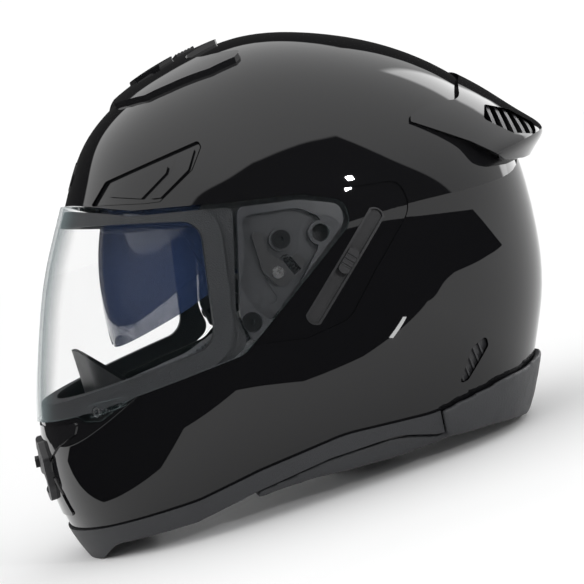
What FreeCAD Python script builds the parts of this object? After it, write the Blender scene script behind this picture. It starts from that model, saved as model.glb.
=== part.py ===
import FreeCAD, Part
import math
import os

# Full-face motorcycle helmet, standing on a table on the rubber trim round its
# neck opening.  Millimetres, +Z up, -Y the front, +X the wearer's left.  The
# origin is on the table, under the middle of the helmet.

V = FreeCAD.Vector

# ---------------------------------------------------------------- overall sizes
LENGTH = 354.0
HEIGHT = 274.0
WIDTH = 251.0

# The side outlines below are drawn on a helmet of this length and height, and
# at() stretches them to the sizes above.
DRAWN_LENGTH = 354.0
DRAWN_HEIGHT = 274.0

# ---------------------------------------------------------------- walls and gaps
SHELL_WALL = 4.0
RECESS = 6.0                # how deep the shell steps in under the face shield
SHIELD_THICK = 2.0
SHIELD_GAP = 0.5            # between the shield and the shell it swings over
SHIELD_PLAY = 0.8           # between the shield's edge and the step in the shell
LINER_GAP = 0.4
SEAT_GAP = 0.02             # under a piece bonded on the shell
MOVING_GAP = 0.35           # between any moving piece and its neighbours
PAD_THICK = 9.0
TRIM_LIP = 1.6              # how far the rubber trim stands out of the shell
TRIM_INSIDE = 1.6           # how far it laps over the shell's inside
TRIM_COVER = 9.0            # how far the trim overlaps the shell's edge
ROLL_STAND = 4.0            # how far the neck roll stands out of the shell
ROLL_DEPTH = 19.0
SIDE_ROLL_OUT = 1.0         # depth of the roll's outside and inside along the sides
SIDE_ROLL_IN = 17.0
PANEL_SINK = 0.8            # how far the side panels round the slider are sunk
BADGE_STAND = 0.3
POST_R = 3.0

# ---------------------------------------------------------------- fasteners, pins
HUB_R = 6.9
HUB_BORE_R = 5.0
HUB_PLAY = 0.05             # between the shield's pin and the hub it turns in
BOSS_R = 6.6
SCREW_HEAD_R = 5.3
SCREW_HEAD_H = 1.8
SCREW_SHANK_R = 2.0
SCREW_SHANK = 2.8
SCREW_SOCKET_R = 1.5
LEVER_PIN_R = 2.0
LEVER_HEAD_R = 3.4
SPRING_R = 1.7
SPRING_WIRE = 0.6
SPRING_TURNS = 7

# ---------------------------------------------------------------- moving pieces
VISOR_THICK = 2.2
SLIDER_LENGTH = 15.0
SLOT_WIDTH = 10.0
SLOT_DEPTH = 5.0
VENT_SLIDE = 6.0
VENT_KNOB_WIDTH = 26.0
VENT_KNOB_LENGTH = 12.0
VENT_KNOB_HEIGHT = 2.2
VENT_TILT = 9.0             # slope of the crown under the top vent's slider
RIDGE_PITCH = 2.2

# ---------------------------------------------------------------- strap
STRAP_WIDTH = 25.0
STRAP_THICK = 2.0
BUCKLE_WIDTH = 29.0
BUCKLE_LENGTH = 42.0
BUCKLE_THICK = 9.0

SHARPNESS = 2.3             # how square the helmet is from the front
FAR = 400.0
OUT = "parts"


def at(y, z):
    """A drawn side-view point at the helmet's real length and height."""
    return (y * LENGTH / DRAWN_LENGTH, z * HEIGHT / DRAWN_HEIGHT)


POLE = at(10, 148)          # the face shield's axis, which all skins shrink to

# The outer skin's outline in the middle plane, closed below the neck opening.
PROFILE = [(-164, 0), (-174, 45), (-168, 90), (-155, 128), (-137, 170), (-117, 204),
           (-93, 238.5), (-60, 259), (-22, 269.5), (14, 272.6), (55, 263), (93, 245),
           (122, 223.5), (143, 199), (154, 172), (157, 140), (155, 106), (148, 72), (133, 38),
           (108, -5), (52, -36), (-20, -48), (-95, -42), (-143, -25)]

# The head space inside the pads, from brow to nape.
HEAD_PROFILE = [(-70, 150), (-72, 188), (-58, 212), (-28, 231), (14, 236), (56, 228), (91, 203),
                (108, 166), (108, 128), (100, 90), (98, 40), (96, -30), (30, -50),
                (-40, -50), (-72, 0), (-70, 80)]
HEAD_POLE = at(16, 120)
HEAD_HALF = 76.0


# ---------------------------------------------------------------- skins
def ring(points, depth):
    """Closed smooth curve through points, moved inwards by depth."""
    curve = Part.BSplineCurve()
    curve.interpolate([V(0, *at(y, z)) for y, z in points], PeriodicFlag=True)
    if depth == 0:
        return curve
    middle = V(0, sum(at(y, z)[0] for y, z in points) / len(points),
               sum(at(y, z)[1] for y, z in points) / len(points))
    moved = []
    for knot in curve.getKnots()[:-1]:
        point, tangent = curve.getD1(knot)
        inward = V(0, tangent.z, -tangent.y).normalize()
        if (middle - point).dot(inward) < 0:
            inward = inward * -1
        moved.append(point + inward * depth)
    curve = Part.BSplineCurve()
    curve.interpolate(moved, PeriodicFlag=True)
    return curve


def rib(half, steps=12, reach=0.965):
    """Side-to-side curve: x against the share of the outline kept there."""
    points = []
    for i in range(-steps, steps + 1):
        angle = reach * math.pi / 2 * i / steps
        x = half * abs(math.sin(angle)) ** (2 / SHARPNESS)
        share = abs(math.cos(angle)) ** (2 / SHARPNESS)
        points.append(V(math.copysign(x, i), share, 0))
    curve = Part.BSplineCurve()
    curve.interpolate(points)
    return curve


def domed(points, pole, half, depth):
    """Solid whose middle outline is points, shrinking to the pole at each side."""
    outline = ring(points, depth)
    cross = rib(half)
    poles = []
    for p in outline.getPoles():
        poles.append([V(c.x, pole[0] + c.y * (p.y - pole[0]), pole[1] + c.y * (p.z - pole[1]))
                      for c in cross.getPoles()])
    surface = Part.BSplineSurface()
    surface.buildFromPolesMultsKnots(poles, outline.getMultiplicities(), cross.getMultiplicities(),
                                     outline.getKnots(), cross.getKnots(), True, False, 3, 3)
    side = surface.toShape()
    rims = [e for e in side.Edges if e.isClosed() and e.BoundBox.XLength < 0.001]
    caps = [Part.Face(Part.Wire([rim])) for rim in rims]
    shell = Part.makeShell([side] + caps)
    shell.sewShape()
    solid = Part.makeSolid(shell)
    if solid.Volume < 0:
        solid.reverse()
    return solid


SKINS = {}


def skin(depth):
    """Everything inside the helmet's outer skin moved inwards by depth."""
    if depth not in SKINS:
        SKINS[depth] = domed(PROFILE, POLE, WIDTH / 2 - depth, depth)
    return SKINS[depth]


def band(outer, inner):
    """The layer between two depths of the skin."""
    return skin(outer).cut(skin(inner))


# ---------------------------------------------------------------- outlines
def rounded(corners, place):
    """Closed wire through corners (a, b, radius), each with its round."""
    points = [place(a, b) for a, b, _ in corners]
    count = len(points)
    starts = []
    ends = []
    middles = []
    for i, (_, _, radius) in enumerate(corners):
        here = points[i]
        if radius == 0:
            starts.append(here)
            ends.append(here)
            middles.append(here)
            continue
        back = points[i - 1] - here
        on = points[(i + 1) % count] - here
        half = back.getAngle(on) / 2
        cut = min(radius / math.tan(half), 0.48 * back.Length, 0.48 * on.Length)
        used = cut * math.tan(half)
        bisector = (back.normalize() + on.normalize()).normalize()
        starts.append(here + back * cut)
        ends.append(here + on * cut)
        middles.append(here + bisector * (used / math.sin(half) - used))
    edges = []
    for i in range(count):
        if (starts[i] - ends[i]).Length > 0.01:
            edges.append(Part.Arc(starts[i], middles[i], ends[i]).toShape())
        if (ends[i] - starts[(i + 1) % count]).Length > 0.01:
            edges.append(Part.LineSegment(ends[i], starts[(i + 1) % count]).toShape())
    return Part.Wire(edges)


def side_place(y, z):
    return V(0, *at(y, z))


def side_slab(corners, x_low=-FAR, x_high=FAR, grow=0.0):
    """A side-view outline (y, z, round) carried across from x_low to x_high."""
    wire = rounded(corners, side_place)
    if grow:
        wire = wire.makeOffset2D(grow)
    wire.translate(V(x_low, 0, 0))
    return Part.Face(wire).extrude(V(x_high - x_low, 0, 0))


def plan_slab(corners, z_low, z_high):
    """A plan outline (x, y, round), x as a share of the half width, carried up."""
    def place(x, y):
        return V(x * WIDTH / 2, at(y, 0)[0], z_low)
    return Part.Face(rounded(corners, place)).extrude(V(0, 0, z_high - z_low))


def front_slab(corners, y_low, y_high):
    """A front-view outline (x, z, round), x as a share of the half width."""
    def place(x, z):
        return V(x * WIDTH / 2, y_low, at(0, z)[1])
    return Part.Face(rounded(corners, place)).extrude(V(0, y_high - y_low, 0))


def both(corners):
    """Half an outline (x > 0) with its mirror image."""
    return corners + [(-x, b, r) for x, b, r in reversed(corners) if x > 0]


def mirrored(shape):
    return shape.mirror(V(0, 0, 0), V(1, 0, 0))


def rod(y, z, radius, x_low, x_high):
    """Round bar along X at a drawn side-view point."""
    side, up = at(y, z)
    return Part.makeCylinder(radius, x_high - x_low, V(x_low, side, up), V(1, 0, 0))


def skin_x(y, z, depth=0.0):
    """How far out the skin is at a drawn side-view point."""
    side, up = at(y, z)
    line = Part.makeLine(V(0, side, up), V(FAR, side, up))
    return skin(depth).common(line).BoundBox.XMax


PIECES = {}


def keep(name, shape):
    """Remember a finished piece; several solids stay together as one group."""
    solids = [s for s in shape.Solids if s.Volume > 1.0]
    PIECES[name] = solids[0] if len(solids) == 1 else Part.makeCompound(solids)
    return PIECES[name]


# ---------------------------------------------------------------- main outlines
SHIELD = [(-215, 86, 0), (-148, 88, 3), (-144, 84, 3), (-136, 82.5, 4), (-128.5, 86, 5),
          (-115, 91, 20), (-50, 96.5, 14), (27, 148, 9),
          (28, 161, 9), (4, 171.5, 20), (-30, 177.5, 60), (-85, 190, 60), (-119, 206, 20),
          (-215, 249, 0)]
EYEPORT = [(-215, 90, 0), (-62, 104, 15), (-49, 175, 13), (-122, 195, 30), (-215, 222, 0)]
GASKET_BACK = [(-215, 83, 0), (-60, 93.5, 20), (-45, 101, 9), (-48, 118, 30), (-31.5, 176, 4),
               (-85, 187.5, 40), (-119, 203, 20), (-215, 246, 0)]
PLATE = [(-43.4, 101, 8), (-46.2, 118, 16), (-29.8, 175, 4), (4, 169, 16), (25.5, 160, 8),
         (24.5, 149.5, 8), (-38, 104, 6)]
MECHANISM = [(-29, 170, 6), (2, 165, 14), (13, 156, 5), (6, 140, 6), (-16, 118, 6), (-31, 109, 4),
             (-38, 121, 4), (-41, 134, 6), (-33, 150, 20)]
TRIM_BACK = 49.0            # where the rubber trim hands over to the padded neck roll
BASE_LINE = [(-260, 10, 0), (-150, 11.5, 60), (-98, 14, 60), (-60, 20.5, 60), (-8, 25.5, 80),
             (46, 20, 60), (84, 24.5, 60), (260, 34, 0), (260, -120, 0), (-260, -120, 0)]
TRIM_FOOT = [(-260, 0, 0), (-159, 0, 4), (-149, 9.5, 12), (-102, 11, 30), (-64, 18.5, 40),
             (-20, 24, 50), (22, 24, 40), (44, 16.5, 8), (TRIM_BACK, 16, 0), (TRIM_BACK, 60, 0),
             (-260, 60, 0)]


def above_base(shape, raise_by=0.0):
    """Cut everything under the shell's bottom edge."""
    low = side_slab(BASE_LINE)
    low.translate(V(0, 0, raise_by))
    return shape.cut(low)


# ---------------------------------------------------------------- shell
SIDE_PANEL = [(8, 149, 0), (27, 168, 6), (62, 163, 9), (64, 146, 14), (32, 117, 50), (12, 97, 14),
              (-14, 94, 14), (-46, 100, 0)]


def panel_recess():
    """Shallow sunk panel behind the shield, in which the slider lies."""
    return side_slab(SIDE_PANEL, 60.0, FAR).cut(skin(PANEL_SINK))


def make_shell():
    step = side_slab(SHIELD, grow=SHIELD_PLAY).cut(skin(RECESS))
    under = side_slab(SHIELD, grow=SHIELD_PLAY + SHELL_WALL)
    joggle = band(0.0, RECESS + SHELL_WALL).common(under)
    shell = band(0.0, SHELL_WALL).fuse(joggle).cut(step)
    shell = shell.cut(side_slab(EYEPORT))
    for cutter in (panel_recess(), mirrored(panel_recess()), brow_recess(0.0),
                   mirrored(brow_recess(0.0)), slider_recess(0.0),
                   grille_recess(0.0), mirrored(grille_recess(0.0))):
        shell = shell.cut(cutter)
    keep("outer_shell", above_base(shell))


BROW = [(-104, 200, 1), (-92, 211, 3), (-37.5, 217, 1.5), (-37, 213, 2), (-46, 202, 4),
        (-68, 190.5, 1), (-76, 192, 1)]
BROW_BLADES = [[(-94, 202.5, 0.5), (-57, 209.5, 1), (-60, 205, 2), (-77, 195.5, 1)],
               [(-51, 212.5, 0.5), (-40, 214.5, 1), (-48, 203, 3), (-67, 192.8, 0.5),
                (-73, 194, 0.5), (-58, 203.5, 3)]]
BROW_DEPTH = 3.0
BROW_FROM = 40.0


def brow_recess(play):
    """Pocket in the left brow for the vent insert."""
    return side_slab(BROW, BROW_FROM, FAR, grow=-play).cut(skin(BROW_DEPTH))


def make_brow_vents():
    """Insert with a sunk floor and two blades, a triangle and a chevron."""
    pocket = brow_recess(MOVING_GAP)
    insert = pocket.common(skin(BROW_DEPTH - 1.2))
    for outline in BROW_BLADES:
        blade = side_slab(outline, BROW_FROM, FAR)
        insert = insert.fuse(pocket.common(blade).common(skin(0.3)))
    insert = insert.removeSplitter()
    keep("brow_vent_left", insert)
    keep("brow_vent_right", mirrored(insert))


GRILLE = [(64, 40.5, 2), (70, 41, 3), (88, 56, 3), (88, 62, 2), (77, 58.5, 4)]
GRILLE_DEPTH = 3.2


def grille_recess(play):
    return side_slab(GRILLE, 40.0, FAR, grow=-play).cut(skin(GRILLE_DEPTH))


def make_exhaust_grilles():
    """Mesh screen in the slanted slot low at each side of the back."""
    pocket = grille_recess(MOVING_GAP)
    screen = pocket.common(skin(GRILLE_DEPTH - 1.0))
    for i in range(5):
        y = 68 + 4.4 * i
        bar = side_slab([(y, 36, 0), (y + 1.1, 36, 0), (y - 4.0, 66, 0), (y - 5.1, 66, 0)], 40.0, FAR)
        screen = screen.fuse(pocket.common(bar).common(skin(GRILLE_DEPTH - 2.2)))
    screen = screen.removeSplitter()
    keep("exhaust_grille_left", screen)
    keep("exhaust_grille_right", mirrored(screen))


# ---------------------------------------------------------------- eyeport gasket
POST_POINT = V(81.8, *at(-136.2, 87.6))
POST_WAY = V(0.71, -0.70, 0)


def make_gasket():
    """Rubber seal round the eyeport: a fat tube with a flat flange behind it."""
    seat = side_slab(GASKET_BACK).cut(side_slab(EYEPORT))
    tube = side_slab(EYEPORT, grow=9.0).cut(side_slab(EYEPORT, grow=-1.5))
    flange = band(RECESS - 2.2, RECESS).common(seat)
    bead = band(MOVING_GAP, RECESS).common(tube).common(side_slab(GASKET_BACK))
    lip = band(MOVING_GAP + 1.5, RECESS + SHELL_WALL).common(side_slab(EYEPORT))
    lip = lip.cut(side_slab(EYEPORT, grow=-1.5))
    gasket = flange.fuse(bead).fuse(lip).common(side_slab(SHIELD, grow=SHIELD_PLAY - LINER_GAP))
    gasket = gasket.cut(side_slab(PLATE, grow=MOVING_GAP))
    seat = Part.makeCylinder(POST_R + MOVING_GAP, 2 * FAR, POST_POINT - POST_WAY * FAR, POST_WAY)
    seat = seat.common(Part.makeBox(FAR, FAR, FAR, V(0, -FAR, 0)))
    gasket = gasket.cut(seat).cut(mirrored(seat))
    keep("eyeport_gasket", gasket)


# ---------------------------------------------------------------- shield and base
PIVOT = (10, 148)
SCREW_POINTS = [(-12, 151), (-41, 112)]
LEVER_POINT = (-19, 134)
LEVER_TIP = (-2, 137)
SPRING_START = (-8.5, 131.5)
SPRING_WAY = V(0, -0.4, 0.92)
SPRING_LENGTH = 12.0
FLOOR = 4.4                 # depth of the mechanism pocket in the base plate
PLATE_FACE = 0.2


def make_base_plate():
    """Side plate that carries the shield: a pocket, a hub and two screw bosses."""
    body = band(PLATE_FACE, RECESS - 0.05).common(side_slab(PLATE, 60.0, FAR))
    pocket = side_slab(MECHANISM, 60.0, FAR).cut(skin(FLOOR))
    plate = body.cut(pocket)
    top = skin_x(*PIVOT) - PLATE_FACE
    low = top - RECESS + PLATE_FACE + 0.3
    plate = plate.fuse(rod(*PIVOT, HUB_R, low, top)).cut(rod(*PIVOT, HUB_BORE_R, low - 20, top + 5))
    for y, z in SCREW_POINTS:
        level = skin_x(y, z)
        boss = rod(y, z, BOSS_R, level - RECESS + 0.3, level - 2.6)
        plate = plate.fuse(boss.common(skin(0.5)))
        plate = plate.cut(rod(y, z, BOSS_R - 0.9, level - 2.6 - 0.001, level + 9))
        plate = plate.cut(rod(y, z, SCREW_SHANK_R, level - 30, level + 5))
    window = side_slab([(-37, 139, 3), (-27, 135, 6), (-22, 117, 3), (-33, 120, 6)], 60.0, FAR)
    plate = plate.cut(window.cut(skin(FLOOR + 0.8)))
    level = skin_x(*LEVER_POINT)
    plate = plate.cut(rod(*LEVER_POINT, LEVER_PIN_R, level - 30, level + 5))
    plate = plate.common(skin(PLATE_FACE)).cut(skin(RECESS - 0.05)).common(side_slab(PLATE, 60.0, FAR))
    solids = sorted(plate.Solids, key=lambda part: part.Volume)
    plate = solids[-1]
    keep("base_plate_left", plate)
    keep("base_plate_right", mirrored(plate))


def screw(y, z, level):
    """Round-headed socket screw, its head's top at level."""
    head = rod(y, z, SCREW_HEAD_R, level - SCREW_HEAD_H, level)
    shank = rod(y, z, SCREW_SHANK_R, level - SCREW_HEAD_H - SCREW_SHANK, level - SCREW_HEAD_H)
    socket = rod(y, z, SCREW_SOCKET_R, level - 1.3, level + 1)
    return head.fuse(shank).cut(socket)


def make_base_screws():
    solids = []
    for y, z in SCREW_POINTS:
        one = screw(y, z, skin_x(y, z) - 2.6 + SCREW_HEAD_H)
        solids += [one, mirrored(one)]
    keep("base_plate_screws", Part.makeCompound(solids))


def make_release_levers():
    """Sprung catch that lets the shield off its hub, with its pin and spring."""
    low = skin_x(*LEVER_TIP) - FLOOR + MOVING_GAP
    high = low + 1.8
    outline = [(-27, 160, 3), (-21.5, 158, 2), (-21, 146, 3), (-15, 139.5, 2), (-6, 141, 2),
               (-1.5, 136, 3), (-8, 129, 3), (-20, 125.5, 4), (-27, 136, 5)]
    lever = side_slab(outline, low, high)
    for y, z in SCREW_POINTS:
        lever = lever.cut(rod(y, z, BOSS_R + 1.2, low - 5, high + 5))
    lever = lever.cut(rod(*LEVER_POINT, LEVER_PIN_R + 0.05, low - 5, high + 5))
    middle = high + 0.3
    foot = V(middle, *at(*SPRING_START))
    lever = lever.cut(Part.makeCylinder(SPRING_R + 0.8, SPRING_LENGTH + 1.0, foot - SPRING_WAY * 0.5, SPRING_WAY))
    lever = sorted(lever.Solids, key=lambda part: part.Volume)[-1]
    keep("release_lever_left", lever)
    keep("release_lever_right", mirrored(lever))
    pin = rod(*LEVER_POINT, LEVER_PIN_R, low - 1.0, high + 0.1)
    pin = pin.fuse(rod(*LEVER_POINT, LEVER_HEAD_R, high + 0.1, high + 1.1))
    pin = pin.cut(rod(*LEVER_POINT, 1.1, high + 0.4, high + 5))
    keep("lever_pins", Part.makeCompound([pin, mirrored(pin)]))
    spring = coil(foot, SPRING_WAY, SPRING_LENGTH)
    keep("lever_springs", Part.makeCompound([spring, mirrored(spring)]))


def coil(start, direction, length):
    """Closed-end coil spring as one swept wire."""
    helix = Part.makeHelix(length / SPRING_TURNS, length, SPRING_R - SPRING_WIRE / 2)
    section = Part.Wire(Part.makeCircle(SPRING_WIRE / 2, V(SPRING_R - SPRING_WIRE / 2, 0, 0), V(0, 1, 0)))
    wire = Part.Wire(helix).makePipeShell([section], True, True)
    turn = FreeCAD.Rotation(V(0, 0, 1), direction)
    wire.Placement = FreeCAD.Placement(start, turn)
    return wire


def make_shield():
    """Clear face shield with a hub pin at each side, and its lift tab."""
    outer = -SHIELD_GAP - SHIELD_THICK
    shield = band(outer, -SHIELD_GAP).common(side_slab(SHIELD))
    top = skin_x(*PIVOT)
    pin = rod(*PIVOT, HUB_BORE_R - HUB_PLAY, top - 4.0, top + SHIELD_GAP + 0.5)
    shield = shield.fuse(pin).fuse(mirrored(pin))
    tab = side_slab([(-141, 86, 1), (-141, 93, 2), (-120, 93, 2), (-120, 88, 1)], 60.0, FAR)
    lift = band(outer - 3.0, outer).common(tab)
    keep("face_shield", shield.removeSplitter())
    post = Part.makeCylinder(POST_R, 2 * FAR, POST_POINT - POST_WAY * FAR, POST_WAY)
    post = post.common(band(SHIELD_GAP, RECESS)).common(Part.makeBox(FAR, FAR, FAR, V(0, -FAR, 0)))
    post = post.cut(Part.makeCylinder(POST_R / 2, FAR, POST_POINT - POST_WAY * 3.5, POST_WAY))
    keep("shield_lock_posts", Part.makeCompound([post, mirrored(post)]))
    keep("shield_lift_tab", lift)


# ---------------------------------------------------------------- sun visor
VISOR_AXIS = (-5, 160)
VISOR_HALF = 104.0
VISOR_PROFILE = [(-98, 190), (-107.5, 165), (-112.5, 140), (-114, 112), (-100, 70), (-40, 52),
                 (50, 60), (90, 160), (60, 240), (0, 262), (-50, 250), (-83, 220)]
VISOR_EDGE = [(-150, 116, 0), (-112, 116, 20), (-70, 128, 30), (-26, 145, 8), (3, 152, 7),
              (4, 167, 7), (-26, 176, 8), (-70, 197, 30), (-97, 205, 10), (-150, 215, 0)]


def visor_dome(depth):
    return domed(VISOR_PROFILE, at(*VISOR_AXIS), VISOR_HALF - depth, depth)


def make_sun_visor():
    glass = visor_dome(0.0).cut(visor_dome(VISOR_THICK))
    nose = front_slab(both([(0.0, 129, 12), (0.16, 112, 4)]), -FAR, 0)
    glass = glass.common(side_slab(VISOR_EDGE)).cut(nose)
    hole = rod(*VISOR_AXIS, 3.05, -FAR, FAR)
    keep("sun_visor", glass.cut(hole))
    outside = VISOR_HALF
    pin = rod(*VISOR_AXIS, 3.0, outside - VISOR_THICK - 4.0, outside + 4.0)
    head = rod(*VISOR_AXIS, 6.0, outside - VISOR_THICK - 3.0, outside - VISOR_THICK - MOVING_GAP * 2)
    bracket = side_slab([(-14, 152, 4), (4, 152, 4), (4, 172, 4), (-14, 172, 4)],
                        outside + MOVING_GAP, outside + 3.5)
    bracket = bracket.cut(rod(*VISOR_AXIS, 3.0, 0, FAR))
    stud = pin.fuse(head)
    keep("visor_brackets", Part.makeCompound([bracket, mirrored(bracket)]))
    keep("visor_pivots", Part.makeCompound([stud, mirrored(stud)]))


VISOR_REACH = 122.0
VISOR_CORE = 91.0


def wheel(radius, half):
    """Round-edged drum about the sun visor's axis."""
    points = []
    for angle in range(0, 360, 20):
        turn = math.radians(angle)
        points.append((VISOR_AXIS[0] + radius * math.cos(turn), VISOR_AXIS[1] + radius * math.sin(turn)))
    return domed(points, at(*VISOR_AXIS), half, 0.0)


def visor_path():
    """Space the sun visor swings through, with room to spare."""
    front = side_slab([(-200, 60, 0), (14, 146, 5), (14, 176, 5), (-20, 300, 0), (-200, 300, 0)])
    outside = wheel(VISOR_REACH, VISOR_HALF + 5.0)
    return outside.cut(wheel(VISOR_CORE, VISOR_HALF - 5.0)).common(front)


# ---------------------------------------------------------------- slider
SLOT_TOP = (44, 149)
SLOT_LOW = (-8, 103)
SLIDER_REST = (25, 132.2)
TRACK_WALL = 1.4


def along_slot(start, length, width, x_low, x_high):
    """Round-ended bar along the slot from a drawn point, for length."""
    top = V(0, *at(*SLOT_TOP))
    low = V(0, *at(*SLOT_LOW))
    way = (low - top).normalize()
    side = V(0, -way.z, way.y) * (width / 2)
    first = V(x_low, *at(*start))
    last = first + way * length
    a, b, c, d = first + side, last + side, last - side, first - side
    edges = [Part.LineSegment(a, b).toShape(),
             Part.Arc(b, last + way * (width / 4), c).toShape(),
             Part.LineSegment(c, d).toShape(),
             Part.Arc(d, first - way * (width / 4), a).toShape()]
    return Part.Face(Part.Wire(edges)).extrude(V(x_high - x_low, 0, 0)), way


def slot_length():
    top = V(0, *at(*SLOT_TOP))
    return (V(0, *at(*SLOT_LOW)) - top).Length


def slider_recess(play):
    bar, _ = along_slot(SLOT_TOP, slot_length(), SLOT_WIDTH - 2 * play, 60.0, FAR)
    return bar


def make_slider():
    """Track let into the left side and the thumb slider that works the sun visor."""
    base = skin_x(*SLIDER_REST)
    bar, way = along_slot(SLOT_TOP, slot_length(), SLOT_WIDTH - 0.1, base - SLOT_DEPTH, FAR)
    inner, _ = along_slot(SLOT_TOP, slot_length(), SLOT_WIDTH - 2 * TRACK_WALL,
                          base - SLOT_DEPTH + TRACK_WALL, FAR)
    track = bar.common(skin(PANEL_SINK - 0.3)).cut(inner)
    keep("slider_track", track)
    low = base - SLOT_DEPTH + TRACK_WALL + MOVING_GAP
    half_width = SLOT_WIDTH - 2 * TRACK_WALL - 2 * MOVING_GAP
    knob, _ = along_slot(SLIDER_REST, SLIDER_LENGTH - 3.0, half_width, low, base + 0.8)
    start = V(0, *at(*SLIDER_REST))
    for i in range(1, 4):
        middle = start + way * (SLIDER_LENGTH - 3.0) * i / 4
        groove = Part.makeCylinder(0.7, 2 * SLOT_WIDTH,
                                   V(base + 0.8, middle.y, middle.z) + V(0, -way.z, way.y) * -SLOT_WIDTH,
                                   V(0, -way.z, way.y))
        knob = knob.cut(groove)
    keep("visor_slider", knob)


# ---------------------------------------------------------------- liner and pads
FACE_PLAN = [(0.0, -143, 40), (0.36, -137, 30), (0.58, -112, 30), (0.55, -60, 40), (0.57, 20, 40),
             (0.52, 90, 40), (0.0, 128, 60)]
CHEEK = [(-124, 13.5, 6), (-118, 86, 6), (-66, 91, 12), (-40, 100, 10), (-14, 110, 8), (28, 110, 8),
         (40, 60, 20), (38, 29, 8), (-58, 29, 12), (-72, 13.5, 6)]
CROWN = [(-170, 199, 0), (-122, 199, 10), (-50, 179, 12), (-30, 112.5, 10), (31, 112.5, 8),
         (45, 60, 20), (48, 46, 8), (170, 46, 0), (170, 300, 0), (-170, 300, 0)]


def head_space(depth):
    return domed(HEAD_PROFILE, HEAD_POLE, HEAD_HALF + depth, -depth)


def clear_of_trim(shape):
    edge = side_slab(BASE_LINE)
    edge.translate(V(0, 0, TRIM_COVER + LINER_GAP))
    return shape.cut(edge.cut(skin(SHELL_WALL + TRIM_INSIDE + LINER_GAP)))


def clear_of_joggle(shape):
    under = side_slab(SHIELD, grow=SHIELD_PLAY + SHELL_WALL + LINER_GAP)
    return shape.cut(under.cut(skin(RECESS + SHELL_WALL + LINER_GAP)))


def make_liner():
    """Foam liner over the crown, the comfort pad in it and the chin-bar foam."""
    foam = skin(SHELL_WALL + LINER_GAP).common(side_slab(CROWN))
    foam = clear_of_joggle(foam).cut(side_slab(EYEPORT, grow=2.5))
    foam = foam.cut(head_space(PAD_THICK)).cut(visor_path())
    base = skin_x(*SLIDER_REST)
    bar, _ = along_slot(SLOT_TOP, slot_length(), SLOT_WIDTH + 2, base - SLOT_DEPTH - 1.0, FAR)
    foam = foam.cut(bar)
    solids = sorted(foam.Solids, key=lambda s: s.Volume)
    foam = solids[-1].cut(rod(*VISOR_AXIS, 6.5, -FAR, FAR))
    keep("impact_liner", clear_of_trim(foam))
    pad = head_space(PAD_THICK - MOVING_GAP).cut(head_space(0.0))
    pad = pad.common(side_slab([(-90, 186, 6), (-46, 168, 12), (-24, 116, 10), (34, 116, 10),
                                (52, 70, 20), (130, 70, 10), (140, 260, 0), (-110, 260, 0)]))
    keep("crown_pad", pad)
    chin = skin(SHELL_WALL + LINER_GAP).cut(plan_slab(both(FACE_PLAN), -FAR, FAR))
    chin = chin.common(side_slab([(-200, 24, 0), (-200, 86.5, 0), (-126, 86.5, 8), (-129, 24, 8)]))
    keep("chin_liner", clear_of_trim(clear_of_joggle(chin)))


def make_cheek_pads():
    pad = skin(SHELL_WALL + LINER_GAP + 0.4).common(side_slab(CHEEK, 20.0, FAR))
    pad = pad.cut(plan_slab(both(FACE_PLAN), -FAR, FAR))
    pad = clear_of_joggle(pad)
    pad = clear_of_trim(pad.cut(head_space(1.0)))
    keep("cheek_pad_left", pad)
    keep("cheek_pad_right", mirrored(pad))


ROLL_LOW = [(TRIM_BACK + 0.5, 12, 4), (86, 8, 30), (114, 2, 14), (127, 7, 10), (139, 18, 10),
            (160, 26, 0), (160, 60, 0), (TRIM_BACK + 0.5, 60, 0)]
SIDE_ROLL = [(-66, 14, 2), (-30, 14.5, 30), (10, 11, 30), (80, 10, 0), (80, 24, 0), (52, 15.5, 8),
             (44, 16, 8), (22, 23.4, 40), (-20, 23.4, 50), (-64, 18, 8)]


def make_neck_roll():
    """Padded roll under the trim at each side, and fat round the back of the neck."""
    edge = side_slab(BASE_LINE)
    edge.translate(V(0, 0, TRIM_COVER))
    roll = skin(-ROLL_STAND).cut(skin(ROLL_DEPTH)).common(side_slab(ROLL_LOW)).common(edge)
    sides = band(SIDE_ROLL_OUT, SIDE_ROLL_IN).common(side_slab(SIDE_ROLL)).common(edge)
    sides = sides.cut(PIECES["bottom_trim"])
    roll = roll.fuse(sides).cut(above_base(skin(-SEAT_GAP), -SEAT_GAP))
    solids = sorted(roll.Solids, key=lambda part: part.Volume)
    keep("neck_roll", solids[-1])


def make_chin_curtain():
    """Cloth curtain that closes the gap under the chin."""
    sheet = side_slab([(-200, 16, 0), (-200, 18, 0), (-125, 18, 0), (-125, 16, 0)])
    curtain = skin(SHELL_WALL + TRIM_INSIDE + LINER_GAP).common(sheet)
    keep("chin_curtain", curtain)


def make_breath_guard():
    """Upright nose guard on the chin bar."""
    def wall(shift):
        return [(0.0, -140 + shift, 60), (0.34, -131 + shift, 20), (0.62, -90 + shift, 10),
                (0.62, 100, 0)]
    guard = plan_slab(both(wall(0)), 0, FAR).cut(plan_slab(both(wall(2)), -1, FAR + 1))
    guard = guard.common(side_slab([(-160, 87.5, 0), (-150, 118, 10), (-137, 122, 6), (-112, 93, 6),
                                    (-109, 87.5, 0)]))
    keep("breath_guard", guard)


# ---------------------------------------------------------------- trim
def make_trim():
    """Rubber edging that grips the shell's bottom edge and carries the helmet."""
    edge = side_slab(BASE_LINE)
    edge.translate(V(0, 0, TRIM_COVER))
    ring_zone = band(-TRIM_LIP, SHELL_WALL + TRIM_INSIDE).common(edge).common(side_slab(TRIM_FOOT))
    trim = ring_zone.cut(PIECES["outer_shell"])
    solids = sorted(trim.Solids, key=lambda s: s.Volume)
    keep("bottom_trim", solids[-1])


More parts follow.
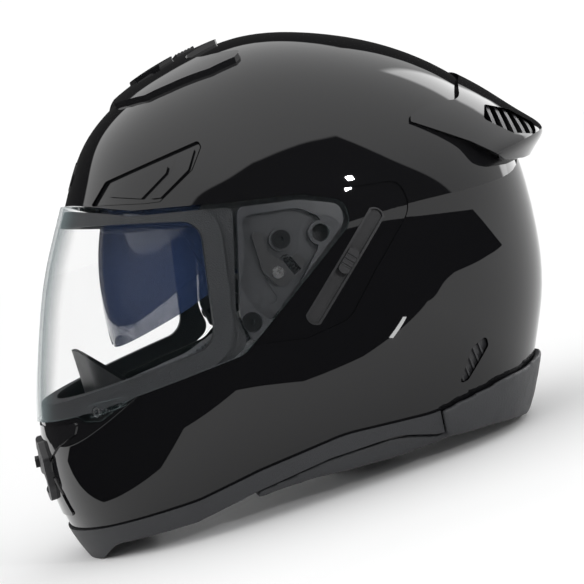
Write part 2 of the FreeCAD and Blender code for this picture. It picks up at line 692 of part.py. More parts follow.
# ---------------------------------------------------------------- vents
VENT_STAND = 3.0
SCOOP_STAND = 5.0
VENT_PLAN = [(0.0, -68, 6), (0.27, -71, 3), (0.38, -65, 4), (0.49, -55, 8), (0.54, -41, 20),
             (0.60, -16, 8), (0.60, 0, 2), (0.56, 6, 3), (0.46, -16, 10), (0.33, -26, 8), (0.17, 0, 5)]
SCOOP_PLAN = [(0.0, -56, 4), (0.17, -54, 4), (0.25, -42, 6), (0.20, -29, 3)]


def make_top_vent():
    """Low scoop on the crown with a flat-bedded thumb slider."""
    housing = skin(-VENT_STAND).cut(skin(-SEAT_GAP)).common(plan_slab(both(VENT_PLAN), 150, FAR))
    scoop = skin(-SCOOP_STAND).cut(skin(-SEAT_GAP)).common(plan_slab(both(SCOOP_PLAN), 150, FAR))
    housing = housing.fuse(scoop)
    side, up = at(-19, 272.9)
    tilt = FreeCAD.Rotation(V(1, 0, 0), VENT_TILT)
    bed = Part.makeBox(VENT_KNOB_WIDTH + 2, VENT_KNOB_LENGTH + VENT_SLIDE + 2, 20,
                       V(-VENT_KNOB_WIDTH / 2 - 1, -VENT_KNOB_LENGTH / 2 - 1, 0))
    bed.Placement = FreeCAD.Placement(V(0, side, up - 1.2), tilt)
    housing = housing.cut(bed)
    keep("top_vent_housing", housing)
    knob = Part.makeBox(VENT_KNOB_WIDTH, VENT_KNOB_LENGTH, VENT_KNOB_HEIGHT,
                        V(-VENT_KNOB_WIDTH / 2, -VENT_KNOB_LENGTH / 2, MOVING_GAP))
    count = int(VENT_KNOB_LENGTH / RIDGE_PITCH)
    for i in range(count):
        y = -VENT_KNOB_LENGTH / 2 + RIDGE_PITCH * (i + 0.5)
        groove = Part.makeCylinder(0.6, VENT_KNOB_WIDTH + 2,
                                   V(-VENT_KNOB_WIDTH / 2 - 1, y, MOVING_GAP + VENT_KNOB_HEIGHT), V(1, 0, 0))
        knob = knob.cut(groove)
    knob.Placement = FreeCAD.Placement(V(0, side, up - 1.2), tilt)
    keep("top_vent_slider", knob)


PANEL_STAND = 1.0
HOOD_STAND = 4.6
SLOT_FLOOR = 2.2
CHIN_LEAN = -6.0
CHIN_PANEL = [(0.57, 84.5, 2), (0.545, 78, 2), (0.38, 72, 8), (0.245, 64, 5), (0.23, 54, 5),
              (0.29, 44, 8), (0.32, 30, 2)]
CHIN_MOUTH = [(0.18, 45, 2), (0.21, 53, 2), (0.19, 57, 2)]
CHIN_HOOD = [(0.17, 76, 3), (0.24, 66, 4), (0.23, 48, 4), (0.17, 40, 4)]


def make_chin_vent():
    """Chin-bar intake: panel, hood, mesh in the hood's mouth and a shutter knob."""
    hood_zone = front_slab(both(CHIN_HOOD), -FAR, 0)
    outline = front_slab(both(CHIN_PANEL), -FAR, 0).cut(hood_zone)
    panel = skin(-PANEL_STAND).common(outline).cut(skin(-SEAT_GAP))
    keep("chin_vent_panel", panel)
    mouth = front_slab(both(CHIN_MOUTH), -FAR, 0)
    slot = front_slab(both([(0.1, 59.5, 1), (0.1, 71, 1)]), -FAR, 0).cut(skin(-SLOT_FLOOR))
    hood = band(-HOOD_STAND, -SEAT_GAP).common(hood_zone)
    keep("chin_vent_hood", hood.cut(mouth).cut(slot))
    inset = [(x - 0.004, z, r) for x, z, r in CHIN_MOUTH]
    keep("chin_vent_mesh", band(-1.8, -SEAT_GAP).common(front_slab(both(inset), -FAR, 0)))
    low = at(0, 60.5)[1]
    high = low + 5.0
    front = -mid_reach(low + 2.5) - HOOD_STAND - 2.2
    knob = Part.makeBox(0.16 * WIDTH / 2, 4.0, high - low, V(-0.08 * WIDTH / 2, front, low))
    knob.rotate(V(0, front + 2.0, low + 2.5), V(1, 0, 0), CHIN_LEAN)
    keep("chin_vent_shutter", knob.cut(skin(-SLOT_FLOOR - MOVING_GAP)))


def mid_reach(z):
    """How far forward the skin is in the middle plane at a real height."""
    line = Part.makeLine(V(0, 0, z), V(0, -FAR, z))
    return -skin(0.0).common(line).BoundBox.YMin


# ---------------------------------------------------------------- spoiler
SPOILER_PROFILE = PROFILE[:11] + [(93, 245.3), (122, 224.2), (146, 202.5), (170, 176), (177, 165),
                                  (169, 156), (157, 140), (155, 106), (148, 72), (133, 38)]
SPOILER_PROFILE = SPOILER_PROFILE + PROFILE[19:]
SPOILER_SIDE = [(77, 194.5, 3), (86, 199, 6), (120, 199.5, 20), (135, 230, 0), (240, 230, 0),
                (240, 152, 0), (148, 152, 4), (131, 154.5, 8), (112, 171, 30)]
SPOILER_PLAN = [(0.30, 133, 40), (0.66, 118, 20), (0.84, 82, 6), (1.2, 60, 0), (1.2, 260, 0)]
SPOILER_EXIT = [(127, 181, 2), (133, 189, 2), (150, 182, 3), (163, 170, 3), (160, 163, 3), (142, 168, 6)]
SPOILER_STAND = 1.6         # how far the wing stands out beside the shell
EXIT_FROM = 32.0


def wing_dome(depth):
    return domed(SPOILER_PROFILE, POLE, WIDTH / 2 + SPOILER_STAND - depth, depth)


def make_spoiler():
    """Rear wing that wraps over the back, with a ribbed exit at each side."""
    wing = wing_dome(0.0).cut(skin(-SEAT_GAP)).common(side_slab(SPOILER_SIDE))
    wing = wing.common(plan_slab(both(SPOILER_PLAN), 0, FAR))
    exit_zone = side_slab(SPOILER_EXIT, EXIT_FROM, FAR)
    throat = exit_zone.cut(wing_dome(6.0))
    wing = wing.cut(throat).cut(mirrored(throat))
    solids = sorted(wing.Solids, key=lambda part: part.Volume)
    keep("rear_spoiler", solids[-1])
    ribs = []
    for i in range(5):
        y = 135 + 6.5 * i
        bar = side_slab([(y, 194, 0), (y + 2.4, 194, 0), (y - 3.6, 158, 0), (y - 6.0, 158, 0)],
                        EXIT_FROM, FAR)
        one = throat.common(bar).common(wing_dome(1.5)).cut(skin(-SEAT_GAP))
        ribs += [part for part in one.Solids if part.Volume > 5.0]
    keep("spoiler_ribs", Part.makeCompound(ribs + [mirrored(part) for part in ribs]))


def make_badge():
    """Plain lozenge on the brow."""
    plate = front_slab(both([(0.0, 214, 0), (0.11, 216, 3), (0.13, 221, 3), (0.11, 227, 3),
                             (0.0, 229, 0)]), -FAR, 0)
    keep("brow_badge", band(-BADGE_STAND, -SEAT_GAP).common(plate))


# ---------------------------------------------------------------- strap
STRAP_Y = -18.0
STRAP_SIDE = 60.0
STRAP_TOP = 112.0
STRAP_LOW = 14.0
STRAP_BEND = 42.0
STRAP_ANCHOR_X = 62.0


def strap_loop(x_out, low, width, thick):
    """U of webbing in a plane across the helmet, open at the top."""
    top = at(0, STRAP_TOP)[1]

    def loop(inset):
        r = STRAP_BEND - inset
        x = x_out - inset
        z = low + inset
        return [V(x, STRAP_Y, top), V(x, STRAP_Y, z + r),
                V(x - r + r * math.cos(-math.pi / 4), STRAP_Y, z + r + r * math.sin(-math.pi / 4)),
                V(x - r, STRAP_Y, z)]
    outer = loop(0.0)
    inner = loop(thick)
    edges = [Part.LineSegment(outer[0], outer[1]).toShape(),
             Part.Arc(outer[1], outer[2], outer[3]).toShape(),
             Part.LineSegment(outer[3], V(0, STRAP_Y, outer[3].z)).toShape(),
             Part.LineSegment(V(0, STRAP_Y, outer[3].z), V(0, STRAP_Y, inner[3].z)).toShape(),
             Part.LineSegment(V(0, STRAP_Y, inner[3].z), inner[3]).toShape(),
             Part.Arc(inner[3], inner[2], inner[1]).toShape(),
             Part.LineSegment(inner[1], inner[0]).toShape(),
             Part.LineSegment(inner[0], outer[0]).toShape()]
    half = Part.Face(Part.Wire(edges)).extrude(V(0, width, 0))
    return half


def make_strap():
    """Chin strap in two halves joined by a ratchet buckle with a lift lever."""
    half = strap_loop(STRAP_SIDE, STRAP_LOW, STRAP_WIDTH, STRAP_THICK)
    gap = Part.makeBox(BUCKLE_LENGTH, FAR, 40, V(-BUCKLE_LENGTH / 2, -FAR / 2, STRAP_LOW - 10))
    keep("strap_left", half.cut(gap))
    keep("strap_right", mirrored(half).cut(gap))
    top = at(0, STRAP_TOP)[1]
    plate = Part.makeBox(1.5, STRAP_WIDTH + 4, 16, V(STRAP_SIDE, STRAP_Y - 2, top - 14))
    rivet = Part.makeCylinder(4.0, 1.4, V(STRAP_SIDE + 1.5, STRAP_Y + STRAP_WIDTH / 2, top - 6),
                              V(1, 0, 0))
    keep("strap_anchors", Part.makeCompound([plate, mirrored(plate)]))
    keep("strap_rivets", Part.makeCompound([rivet, mirrored(rivet)]))
    middle = STRAP_Y + STRAP_WIDTH / 2
    body = Part.makeBox(BUCKLE_LENGTH, BUCKLE_WIDTH, 2.0,
                        V(-BUCKLE_LENGTH / 2, middle - BUCKLE_WIDTH / 2, STRAP_LOW))
    for y in (middle - BUCKLE_WIDTH / 2, middle + BUCKLE_WIDTH / 2 - 2.0):
        body = body.fuse(Part.makeBox(BUCKLE_LENGTH, 2.0, BUCKLE_THICK, V(-BUCKLE_LENGTH / 2, y, STRAP_LOW)))
    pin_x = BUCKLE_LENGTH / 2 - 6.0
    pin_z = STRAP_LOW + BUCKLE_THICK - 3.0
    hole = Part.makeCylinder(1.5, FAR, V(pin_x, -FAR / 2, pin_z), V(0, 1, 0))
    keep("buckle_body", body.cut(hole))
    pin = Part.makeCylinder(1.5, BUCKLE_WIDTH, V(pin_x, middle - BUCKLE_WIDTH / 2, pin_z), V(0, 1, 0))
    keep("buckle_pin", pin)
    inside = BUCKLE_WIDTH - 4.0 - 2 * MOVING_GAP
    lever = Part.makeBox(BUCKLE_LENGTH + 2, inside, 2.0,
                         V(-BUCKLE_LENGTH / 2 - 8, middle - inside / 2, pin_z - 1.0))
    barrel = Part.makeCylinder(2.6, inside, V(pin_x, middle - inside / 2, pin_z), V(0, 1, 0))
    bore = Part.makeCylinder(1.55, FAR, V(pin_x, -FAR / 2, pin_z), V(0, 1, 0))
    keep("buckle_lever", lever.fuse(barrel).cut(bore))
    tongue = Part.makeBox(BUCKLE_LENGTH - 8, inside - 4, 1.6,
                          V(-BUCKLE_LENGTH / 2, middle - inside / 2 + 2, STRAP_LOW + 2.05))
    keep("buckle_tongue", tongue)


def main():
    make_shell()
    make_brow_vents()
    make_exhaust_grilles()
    make_gasket()
    make_base_plate()
    make_base_screws()
    make_release_levers()
    make_shield()
    make_sun_visor()
    make_slider()
    make_liner()
    make_cheek_pads()
    make_chin_curtain()
    make_breath_guard()
    make_trim()
    make_neck_roll()
    make_top_vent()
    make_chin_vent()
    make_spoiler()
    make_badge()
    make_strap()
    os.makedirs(OUT, exist_ok=True)
    for name, shape in PIECES.items():
        shape.exportStep(os.path.join(OUT, name + ".step"))
        print(name, shape.isValid(), len(shape.Solids), round(shape.Volume / 1000, 2))


main()
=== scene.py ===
import math

import bmesh
import bpy
from mathutils import Matrix, Vector


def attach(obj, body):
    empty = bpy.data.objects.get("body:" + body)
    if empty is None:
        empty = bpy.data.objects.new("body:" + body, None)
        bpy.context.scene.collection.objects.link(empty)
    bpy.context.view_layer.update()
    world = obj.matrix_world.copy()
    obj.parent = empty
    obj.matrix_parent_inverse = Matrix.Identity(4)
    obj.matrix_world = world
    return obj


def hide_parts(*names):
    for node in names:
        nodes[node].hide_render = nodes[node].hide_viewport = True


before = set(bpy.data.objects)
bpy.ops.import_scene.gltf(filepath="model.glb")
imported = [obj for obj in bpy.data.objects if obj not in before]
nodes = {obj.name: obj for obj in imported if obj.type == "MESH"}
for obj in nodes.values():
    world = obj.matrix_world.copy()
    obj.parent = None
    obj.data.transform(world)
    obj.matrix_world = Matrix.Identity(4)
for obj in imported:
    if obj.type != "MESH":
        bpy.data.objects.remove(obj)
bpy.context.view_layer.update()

# ---------------------------------------------------------------- camera
# A long lens looks at the helmet's left side from a little in front.  It is
# rolled by the angle at which the helmet is worn, so the eyeport looks level.
lean = math.radians(17.5)
ahead = math.radians(8.0)
above = math.radians(1.0)
distance = 1.20
aim = Vector((0.0, 0.001, 0.114))
sensor_width = 36.0
focal_length = 119.8
nearest, farthest = 0.05, 60.0

worn = Matrix.Rotation(-lean, 3, "X")
back = worn @ Vector((math.cos(ahead) * math.cos(above), -math.sin(ahead) * math.cos(above),
                      math.sin(above)))
side = worn @ Vector((math.sin(ahead), math.cos(ahead), 0.0))
up = back.cross(side)
camera = bpy.data.objects.new("camera", bpy.data.cameras.new("camera"))
camera.data.sensor_width = sensor_width
camera.data.lens = focal_length
camera.data.clip_start = nearest
camera.data.clip_end = farthest
facing = Matrix((side, up, back)).transposed().to_4x4()
camera.matrix_world = Matrix.Translation(aim + back * distance) @ facing
bpy.context.scene.collection.objects.link(camera)
bpy.context.scene.camera = camera
bpy.context.scene.view_settings.view_transform = "Standard"


# ---------------------------------------------------------------- table
# The helmet stands on a wide sheet of pale matte paper.
class Value:
    """A node's output that can be used in sums."""

    def __init__(self, finish, socket):
        self.finish = finish
        self.socket = socket

    def _sum(self, operation, first, second):
        return self.finish.node("ShaderNodeMath", {"operation": operation}, **{"0": first, "1": second})

    def __add__(self, other):
        return self._sum("ADD", self, other)

    def __radd__(self, other):
        return self._sum("ADD", other, self)

    def __sub__(self, other):
        return self._sum("SUBTRACT", self, other)

    def __rsub__(self, other):
        return self._sum("SUBTRACT", other, self)

    def __mul__(self, other):
        return self._sum("MULTIPLY", self, other)

    def __rmul__(self, other):
        return self._sum("MULTIPLY", other, self)

    def at_least(self, other):
        return self._sum("MAXIMUM", self, other)

    def wave(self):
        return self.finish.node("ShaderNodeMath", {"operation": "SINE"}, **{"0": self})


class Nodes:
    """A node tree whose nodes are made one call at a time."""

    def __init__(self, tree):
        self.tree = tree

    def node(self, kind, settings=None, out=0, **values):
        """Makes a node, sets it and its sockets, and gives one of its outputs."""
        made = self.tree.nodes.new(kind)
        for key, value in (settings or {}).items():
            if key == "stops":
                for element, (place, shade) in zip(made.color_ramp.elements, value):
                    element.position = place
                    element.color = (*shade, 1.0)
            else:
                setattr(made, key, value)
        for key, value in values.items():
            socket = made.inputs[int(key) if key.isdigit() else key.replace("_", " ")]
            if isinstance(value, Value):
                self.tree.links.new(value.socket, socket)
            else:
                socket.default_value = value
        return Value(self, made.outputs[out])

    def axes(self, place):
        """The x, y and z of a place or a direction."""
        split = self.tree.nodes.new("ShaderNodeSeparateXYZ")
        self.tree.links.new(place.socket, split.inputs[0])
        return [Value(self, output) for output in split.outputs]


class Finish(Nodes):
    """A surface finish: a Principled shader and the nodes that vary it."""

    def __init__(self, name, colour, roughness, metallic=0.0, **fixed):
        self.material = bpy.data.materials.new(name)
        self.material.use_nodes = True
        super().__init__(self.material.node_tree)
        self.shader = self.tree.nodes["Principled BSDF"]
        self.shader.inputs["Base Color"].default_value = (*colour, 1.0)
        self.shader.inputs["Roughness"].default_value = roughness
        self.shader.inputs["Metallic"].default_value = metallic
        for socket, value in fixed.items():
            self.shader.inputs[socket.replace("_", " ")].default_value = value

    def feed(self, socket, value):
        self.tree.links.new(value.socket, self.shader.inputs[socket])

    def place(self):
        return self.node("ShaderNodeTexCoord", out="Object")

    def grain(self, scale, detail=3.0):
        return self.node("ShaderNodeTexNoise", Vector=self.place(), Scale=scale, Detail=detail)

    def cells(self, scale):
        return self.node("ShaderNodeTexVoronoi", Vector=self.place(), Scale=scale)

    def rim(self, blend):
        """1 where the surface is seen edge on, 0 where it faces the eye."""
        return self.node("ShaderNodeLayerWeight", out="Facing", Blend=blend)

    def shade(self, value, low, high, start=0.0, end=1.0):
        """Colour that runs from low to high as value runs from start to end."""
        return self.node("ShaderNodeValToRGB", {"stops": [(start, low), (end, high)]}, Fac=value)

    def spread(self, value, low, high, start=0.0, end=1.0):
        """Number that runs from low to high as value runs from start to end."""
        return self.node("ShaderNodeMapRange", Value=value, From_Min=start, From_Max=end, To_Min=low,
                         To_Max=high)

    def bumps(self, height, distance, strength=1.0):
        self.feed("Normal", self.node("ShaderNodeBump", Height=height, Distance=distance,
                                      Strength=strength))


def wear(finish, *names):
    """Puts a finish on CAD nodes or new pieces."""
    for name in names:
        piece = nodes[name] if isinstance(name, str) else name
        piece.data.materials.clear()
        piece.data.materials.append(finish.material)


def link_new(name, work):
    """An object in the scene with the shape of a bmesh."""
    piece = bpy.data.objects.new(name, bpy.data.meshes.new(name))
    work.to_mesh(piece.data)
    work.free()
    bpy.context.scene.collection.objects.link(piece)
    return piece


table_half = 12.0
sheet = bmesh.new()
bmesh.ops.create_grid(sheet, x_segments=1, y_segments=1, size=table_half)
floor = link_new("floor", sheet)
paper = Finish("studio_paper", (0.97, 0.97, 0.97), 0.95, Specular_IOR_Level=0.1)
paper.feed("Base Color", paper.shade(paper.grain(2.0), (0.965, 0.965, 0.965), (0.975, 0.975, 0.975)))
wear(paper, floor)

# ---------------------------------------------------------------- studio
# The room is white to look at.  Gloss reflects a dark room instead, with a wide
# soft box overhead that slopes down at front and rear, and a bright rear strip.
world = bpy.data.worlds.new("studio")
world.use_nodes = True
bpy.context.scene.world = world
room = Nodes(world.node_tree)
way_x, way_y, way_z = room.axes(room.node("ShaderNodeTexCoord", out="Generated"))


def soft_step(value, middle, soft, before, after):
    return room.node("ShaderNodeMapRange", {"interpolation_type": "SMOOTHSTEP"}, Value=value,
                     From_Min=middle - soft, From_Max=middle + soft, To_Min=before, To_Max=after)


def box_light(value, low, high, soft):
    """1 where value lies between low and high, with soft edges."""
    return soft_step(value, low, soft, 0.0, 1.0) * soft_step(value, high, soft, 1.0, 0.0)


room_white = 1.04
room_dark = 0.035
roof_power = 1.15
strip_power = 3.0
roof_rear_drop = (way_y - 0.43).at_least(0.0) * 1.35
roof_front_drop = (-0.05 - way_y).at_least(0.0) * 0.36
roof_edge = 0.60 - roof_rear_drop - roof_front_drop
roof = box_light(way_z - roof_edge, 0.0, 5.0, 0.012) * (0.75 + way_z * 0.55)
rear_strip = box_light(way_y, 0.62, 2.0, 0.02) * box_light(way_x, -0.80, -0.35, 0.03)
glow = room_dark + roof * roof_power + rear_strip * strip_power
seen_in_gloss = room.node("ShaderNodeLightPath", out="Is Glossy Ray")
shown = room.node("ShaderNodeMix", {"data_type": "FLOAT"}, Factor=seen_in_gloss, A=room_white, B=glow)
ground = room.tree.nodes["Background"]
room.tree.links.new(shown.socket, ground.inputs["Strength"])
ground.inputs["Color"].default_value = (1.0, 1.0, 1.0, 1.0)

# ---------------------------------------------------------------- spark lamp
# One small square lamp, high on the helmet's left and a little to the rear,
# puts the hot spot on the shell.
spark_place = Vector((1.47, 0.575, 0.55))
spark_aim = Vector((0.122, 0.035, 0.171))
spark_size = 0.05
spark_power = 5.0
spark = bpy.data.lights.new("spark_high", "AREA")
spark.shape = "RECTANGLE"
spark.size = spark_size
spark.size_y = spark_size
spark.energy = spark_power
lamp = bpy.data.objects.new("spark_high", spark)
lamp.location = spark_place
lamp.rotation_mode = "QUATERNION"
lamp.rotation_quaternion = (spark_aim - spark_place).to_track_quat("-Z", "Y")
bpy.context.scene.collection.objects.link(lamp)


# ---------------------------------------------------------------- cards
# Two flat cards lie just over the paper where only gloss sees them: a black
# flag that keeps the paper out of the shell, and a thin strip of light.
def card(name, corners, height, strength):
    sheet = bmesh.new()
    sheet.faces.new([sheet.verts.new((x, y, height)) for x, y in corners])
    piece = link_new(name, sheet)
    for ray in ("visible_camera", "visible_diffuse", "visible_transmission", "visible_shadow",
                "visible_volume_scatter"):
        setattr(piece, ray, False)
    look = Finish(name + "_card", (0.004, 0.004, 0.004), 1.0, Specular_IOR_Level=0.0,
                  Emission_Color=(1.0, 1.0, 1.0, 1.0), Emission_Strength=strength)
    look.feed("Base Color", look.shade(look.grain(3.0), (0.003, 0.003, 0.003), (0.005, 0.005, 0.005)))
    wear(look, piece)


flag_corners = [(0.06, -0.235), (0.16, -0.185), (0.262, -0.20), (0.315, -0.104), (0.245, -0.013),
                (0.25, 0.046), (0.275, 0.106), (0.33, 0.234), (0.31, 0.335), (0.20, 0.50),
                (0.09, 0.62), (0.58, 1.62), (8.0, 1.6), (8.0, -8.0), (-4.0, -8.0), (-0.5, -1.0)]
flag_height = 0.003
card("flag", flag_corners, flag_height, 0.0)
streak_corners = [(0.255, 0.085), (0.262, 0.082), (0.305, 0.125), (0.298, 0.130)]
streak_height = 0.006
streak_power = 12.0
card("streak", streak_corners, streak_height, streak_power)

# ---------------------------------------------------------------- outer shell
# Moulded composite, sanded, painted black and lacquered.  The lacquer is deep
# and even, with a few specks of dust under it.
lacquer = Finish("black_lacquer", (0.004, 0.004, 0.005), 0.35, Coat_Weight=1.0, Coat_Roughness=0.015,
                 Specular_IOR_Level=0.0)
lacquer.feed("Base Color", lacquer.shade(lacquer.grain(900.0, 2.0), (0.0035, 0.0035, 0.004),
                                         (0.006, 0.006, 0.0068)))

# The side outline of the shell in the middle plane (y, z in metres), the pole
# that it shrinks to at each side, its half width and how square it is.
outline = [(-0.164, 0.0), (-0.174, 0.045), (-0.168, 0.090), (-0.155, 0.128), (-0.137, 0.170),
           (-0.117, 0.204), (-0.093, 0.2385), (-0.060, 0.259), (-0.022, 0.2695), (0.014, 0.2726),
           (0.055, 0.263), (0.093, 0.245), (0.122, 0.2235), (0.143, 0.199), (0.154, 0.172),
           (0.157, 0.140), (0.155, 0.106), (0.148, 0.072), (0.133, 0.038), (0.108, -0.005),
           (0.052, -0.036), (-0.020, -0.048), (-0.095, -0.042), (-0.143, -0.025)]
pole = (0.010, 0.148)
half_width = 0.1255
square = 2.3
bins = 360
fairing_rounds = 30
normal_step = 0.0008
shell_edge_length = 0.009
split_rounds = 4
same_point = 0.000002
same_face = 0.93


def through(points, i, t):
    """A smooth curve through a closed list, a share t of the way after entry i."""
    a, b, c, d = (points[(i + k - 1) % len(points)] for k in range(4))
    return 0.5 * (2 * b + (c - a) * t + (2 * a - 5 * b + 4 * c - d) * t ** 2
                  + (3 * b - a - 3 * c + d) * t ** 3)


def smooth_outline(points, steps=24):
    """The closed outline as many (turn, distance) pairs about the pole."""
    corners = [Vector(point) for point in points]
    pairs = []
    for i in range(len(corners)):
        for step in range(steps):
            spot = through(corners, i, step / steps)
            y, z = spot[0] - pole[0], spot[1] - pole[1]
            pairs.append((math.atan2(z, y), math.hypot(y, z)))
    return sorted(pairs)


rim_pairs = smooth_outline(outline)
reach = []
for i in range(bins):
    turn = -math.pi + 2 * math.pi * i / bins
    near = sorted(rim_pairs, key=lambda pair: abs(math.remainder(pair[0] - turn, 2 * math.pi)))[:2]
    reach.append(sum(pair[1] for pair in near) / 2)
for _ in range(fairing_rounds):
    reach = [(reach[i - 1] + 2 * reach[i] + reach[(i + 1) % bins]) / 4 for i in range(bins)]


def reach_at(turn):
    """How far the shell's outline is from the pole in one direction."""
    spot = (turn + math.pi) / (2 * math.pi) * bins
    i = int(math.floor(spot))
    return through(reach, i, spot - i)


def fair(point):
    """How far a point is outside the shell's fair surface, roughly."""
    y, z = point[1] - pole[0], point[2] - pole[1]
    share = max(0.0, 1.0 - (abs(point[0]) / half_width) ** square) ** (1 / square)
    return math.hypot(y, z) - share * reach_at(math.atan2(z, y))


def fair_normal(point):
    slope = [fair(point + Vector(way) * normal_step) - fair(point - Vector(way) * normal_step)
             for way in ((1, 0, 0), (0, 1, 0), (0, 0, 1))]
    return Vector(slope).normalized()


# The moulding's long triangles are split and its gloss surface is faired, as
# sanding and lacquer do.  Rims and steps keep their own edges.
work = bmesh.new()
work.from_mesh(nodes["outer_shell"].data)
bmesh.ops.remove_doubles(work, verts=work.verts, dist=same_point)
for _ in range(split_rounds):
    long_edges = [edge for edge in work.edges if edge.calc_length() > shell_edge_length]
    bmesh.ops.subdivide_edges(work, edges=long_edges, cuts=1)
    bmesh.ops.triangulate(work, faces=[face for face in work.faces if len(face.verts) > 3])
work.normal_update()
shell = link_new("lacquered_shell", work)
shell.data.shade_smooth()
known = {}
normals = []
for face in shell.data.polygons:
    for index in face.vertices:
        if index not in known:
            known[index] = fair_normal(shell.data.vertices[index].co)
        soft = known[index]
        normals.append(soft if soft.dot(face.normal) > same_face else face.normal)
shell.data.normals_split_custom_set(normals)
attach(shell, "helmet")
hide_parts("outer_shell")
wear(lacquer, shell)

# ---------------------------------------------------------------- foam liners
# Blocks of moulded bead foam, bonded inside the crown and the chin bar.
foam = Finish("bead_foam", (0.03, 0.03, 0.032), 0.7)
foam.feed("Base Color", foam.shade(foam.cells(300.0), (0.020, 0.020, 0.022), (0.045, 0.045, 0.048)))
foam.bumps(foam.cells(300.0), 0.0005, 0.6)
wear(foam, "impact_liner", "chin_liner")

# ---------------------------------------------------------------- rubber edges
# Matte moulded rubber with a fine leather grain: the seal round the eyeport
# and the edging round the neck opening, both pressed onto the shell's rim.
rubber = Finish("soft_rubber", (0.022, 0.023, 0.026), 0.55)
rubber.feed("Base Color", rubber.shade(rubber.grain(1500.0), (0.017, 0.018, 0.020), (0.030, 0.031, 0.035)))
rubber.feed("Roughness", rubber.spread(rubber.grain(50.0), 0.48, 0.62))
rubber.bumps(rubber.cells(1400.0), 0.00025, 0.6)
wear(rubber, "eyeport_gasket", "bottom_trim")

# ---------------------------------------------------------------- painted trim
# Spoiler, crown scoop, chin panels, brow vents and badge: gloss injection
# mouldings painted to match the shell and taped or clipped on.
paint = Finish("gloss_moulding", (0.006, 0.006, 0.007), 0.40, Coat_Weight=1.0, Coat_Roughness=0.04,
               Specular_IOR_Level=0.0)
paint.feed("Base Color", paint.shade(paint.grain(700.0, 2.0), (0.005, 0.005, 0.0055),
                                     (0.009, 0.009, 0.010)))
wear(paint, "rear_spoiler", "top_vent_housing", "chin_vent_panel", "brow_badge", "brow_vent_left",
     "brow_vent_right")

# ---------------------------------------------------------------- grained plastic
# Levers, knobs, ribs, grilles and meshes: unpainted nylon straight from a
# finely textured mould, clipped or screwed in place.
grained = Finish("grained_plastic", (0.016, 0.016, 0.018), 0.42)
pebble = grained.grain(1800.0, 2.0)
grained.feed("Base Color", grained.shade(pebble, (0.012, 0.012, 0.013), (0.026, 0.026, 0.029), 0.3, 0.7))
grained.feed("Roughness", grained.spread(grained.grain(60.0), 0.36, 0.50))
grained.bumps(pebble, 0.00012, 0.6)
wear(grained, "release_lever_left", "release_lever_right", "slider_track", "visor_slider",
     "top_vent_slider", "chin_vent_hood", "chin_vent_shutter", "spoiler_ribs", "visor_brackets",
     "breath_guard", "buckle_tongue", "exhaust_grille_left", "exhaust_grille_right", "chin_vent_mesh")

# ---------------------------------------------------------------- base plates
# The side plates that carry the shield: a smoother glass-filled nylon, each
# held by two screws.
nylon = Finish("plate_nylon", (0.03, 0.031, 0.034), 0.38)
nylon.feed("Base Color", nylon.shade(nylon.grain(1200.0), (0.026, 0.027, 0.030), (0.044, 0.045, 0.050)))
nylon.feed("Roughness", nylon.spread(nylon.grain(80.0), 0.32, 0.46))
wear(nylon, "base_plate_left", "base_plate_right")

# ---------------------------------------------------------------- metal parts
# Turned and pressed steel: bright zinc on posts, pins, rivets and the buckle,
# black oxide on the plates' screws and the levers' springs.
steel = Finish("zinc_plate", (0.55, 0.55, 0.56), 0.25, 1.0)
steel.feed("Roughness", steel.spread(steel.grain(400.0), 0.18, 0.36))
wear(steel, "shield_lock_posts", "lever_pins", "visor_pivots", "strap_anchors", "strap_rivets",
     "buckle_body", "buckle_pin")
oxide = Finish("black_oxide", (0.03, 0.03, 0.032), 0.32, 0.9)
oxide.feed("Roughness", oxide.spread(oxide.grain(500.0), 0.25, 0.42))
wear(oxide, "base_plate_screws", "lever_springs")

# ---------------------------------------------------------------- buckle lever
# The red moulded lever that frees the ratchet buckle, on a steel pin.
red = Finish("red_lever", (0.35, 0.02, 0.02), 0.35)
red.feed("Roughness", red.spread(red.grain(300.0), 0.30, 0.42))
wear(red, "buckle_lever")

# ---------------------------------------------------------------- face shield
# Injection-moulded clear polycarbonate with a hard coat, cool in tint.  Where it
# is seen edge on it is drawn paler and less clear: a painted reflection over
# its own cool tint.  The lift tab is moulded in the same material.
clear = Finish("clear_shield", (0.30, 0.40, 0.42), 0.03, IOR=1.5)
edge_on_painted_sheen = clear.rim(0.35)
# Painted reflection: seen edge on, the shield is drawn more opaque and in a paler teal than face on.
clear.feed("Alpha", clear.spread(edge_on_painted_sheen, 0.02, 0.70, 0.45, 1.0) + clear.grain(30.0) * 0.01)
clear.feed("Base Color", clear.shade(edge_on_painted_sheen, (0.06, 0.08, 0.085), (0.55, 0.70, 0.72), 0.45, 0.95))
wear(clear, "face_shield", "shield_lift_tab")

# ---------------------------------------------------------------- sun visor
# The same material dyed a dense smoky blue, screwed to its two brackets.
tint = Finish("tinted_visor", (0.02, 0.035, 0.09), 0.04, IOR=1.5)
tint.feed("Alpha", tint.spread(tint.rim(0.35), 0.62, 0.92, 0.30, 1.0))
tint.feed("Base Color", tint.shade(tint.grain(8.0), (0.015, 0.028, 0.075), (0.03, 0.05, 0.12)))
wear(tint, "sun_visor")

# ---------------------------------------------------------------- cheek pads
# Foam blocks in brushed knit covers, sewn round the edge and snapped into the
# liner.  Each is the pad's block rounded and lightly wrinkled.
fold_size = 0.03
merge_gap = 0.00002


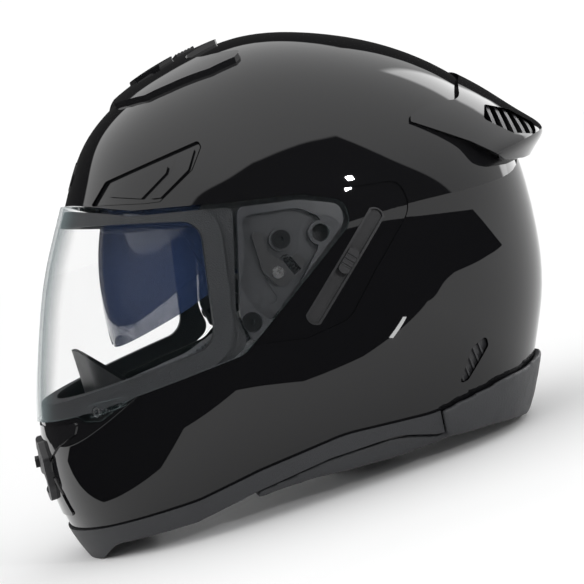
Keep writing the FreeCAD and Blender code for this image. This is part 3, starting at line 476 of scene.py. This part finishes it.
def upholster(name, node, grid, relax, wrinkle, finish):
    """A soft piece with a CAD piece's shape, rounded at its edges and lightly wrinkled."""
    work = bmesh.new()
    work.from_mesh(nodes[node].data)
    bmesh.ops.remove_doubles(work, verts=work.verts, dist=merge_gap)
    piece = link_new(name, work)
    remesh = piece.modifiers.new("even", "REMESH")
    remesh.mode = "VOXEL"
    remesh.voxel_size = grid
    remesh.use_smooth_shade = True
    soften = piece.modifiers.new("soften", "SMOOTH")
    soften.factor = 0.5
    soften.iterations = relax
    cloud = bpy.data.textures.new(name + "_folds", "CLOUDS")
    cloud.noise_scale = fold_size
    folds = piece.modifiers.new("folds", "DISPLACE")
    folds.texture = cloud
    folds.texture_coords = "LOCAL"
    folds.strength = wrinkle
    folds.mid_level = 0.5
    graph = bpy.context.evaluated_depsgraph_get()
    mesh = bpy.data.meshes.new_from_object(piece.evaluated_get(graph))
    piece.modifiers.clear()
    piece.data = mesh
    wear(finish, piece)
    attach(piece, "helmet")
    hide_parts(node)


knit = Finish("brushed_knit", (0.05, 0.05, 0.055), 0.9, Sheen_Weight=0.4, Sheen_Roughness=0.5)
fleck = knit.grain(700.0, 3.0)
knit.feed("Base Color", knit.shade(fleck, (0.025, 0.026, 0.03), (0.30, 0.32, 0.36), 0.42, 0.66))
knit.bumps(knit.cells(1100.0) + fleck * 0.5, 0.0005, 0.9)
for hand in ("left", "right"):
    upholster("cheek_cushion_" + hand, "cheek_pad_" + hand, 0.0022, 8, 0.0022, knit)

# ---------------------------------------------------------------- crown pad
# A thinner foam pad in dark plush, laid against the crown of the liner.
plush = Finish("dark_plush", (0.03, 0.03, 0.033), 0.9, Sheen_Weight=0.5, Sheen_Roughness=0.4)
plush.feed("Base Color", plush.shade(plush.grain(500.0), (0.018, 0.018, 0.02), (0.05, 0.05, 0.055)))
plush.bumps(plush.grain(1600.0), 0.0004, 0.8)
upholster("crown_cushion", "crown_pad", 0.0026, 8, 0.0020, plush)

# ---------------------------------------------------------------- neck roll
# A fat roll of foam in a soft leather cover, sewn and pushed in behind the
# edging of the neck opening.
leather = Finish("soft_leather", (0.024, 0.025, 0.028), 0.5)
leather.feed("Base Color", leather.shade(leather.grain(900.0), (0.020, 0.021, 0.023),
                                         (0.032, 0.033, 0.037)))
leather.feed("Roughness", leather.spread(leather.grain(40.0), 0.42, 0.58))
leather.bumps(leather.cells(900.0), 0.0003, 0.5)
upholster("neck_cushion", "neck_roll", 0.0016, 14, 0.0016, leather)

# ---------------------------------------------------------------- chin curtain
# A sheet of plush-faced cloth across the underside of the chin bar.
upholster("curtain_cloth", "chin_curtain", 0.0012, 4, 0.0008, plush)

# ---------------------------------------------------------------- chin straps
# Flat woven polyester webbing, riveted to an anchor plate at each side.
web = Finish("webbing", (0.02, 0.02, 0.022), 0.8, Sheen_Weight=0.2)
web_x, web_y, web_z = web.axes(web.place())
weave = (web_y * 3200.0).wave() + (web_x * 1800.0 + web_z * 1800.0).wave()
web.feed("Base Color", web.shade(weave * 0.25 + 0.5, (0.012, 0.012, 0.013), (0.035, 0.035, 0.038)))
web.bumps(weave, 0.0002, 0.7)
for hand in ("left", "right"):
    upholster("strap_web_" + hand, "strap_" + hand, 0.0008, 3, 0.0003, web)
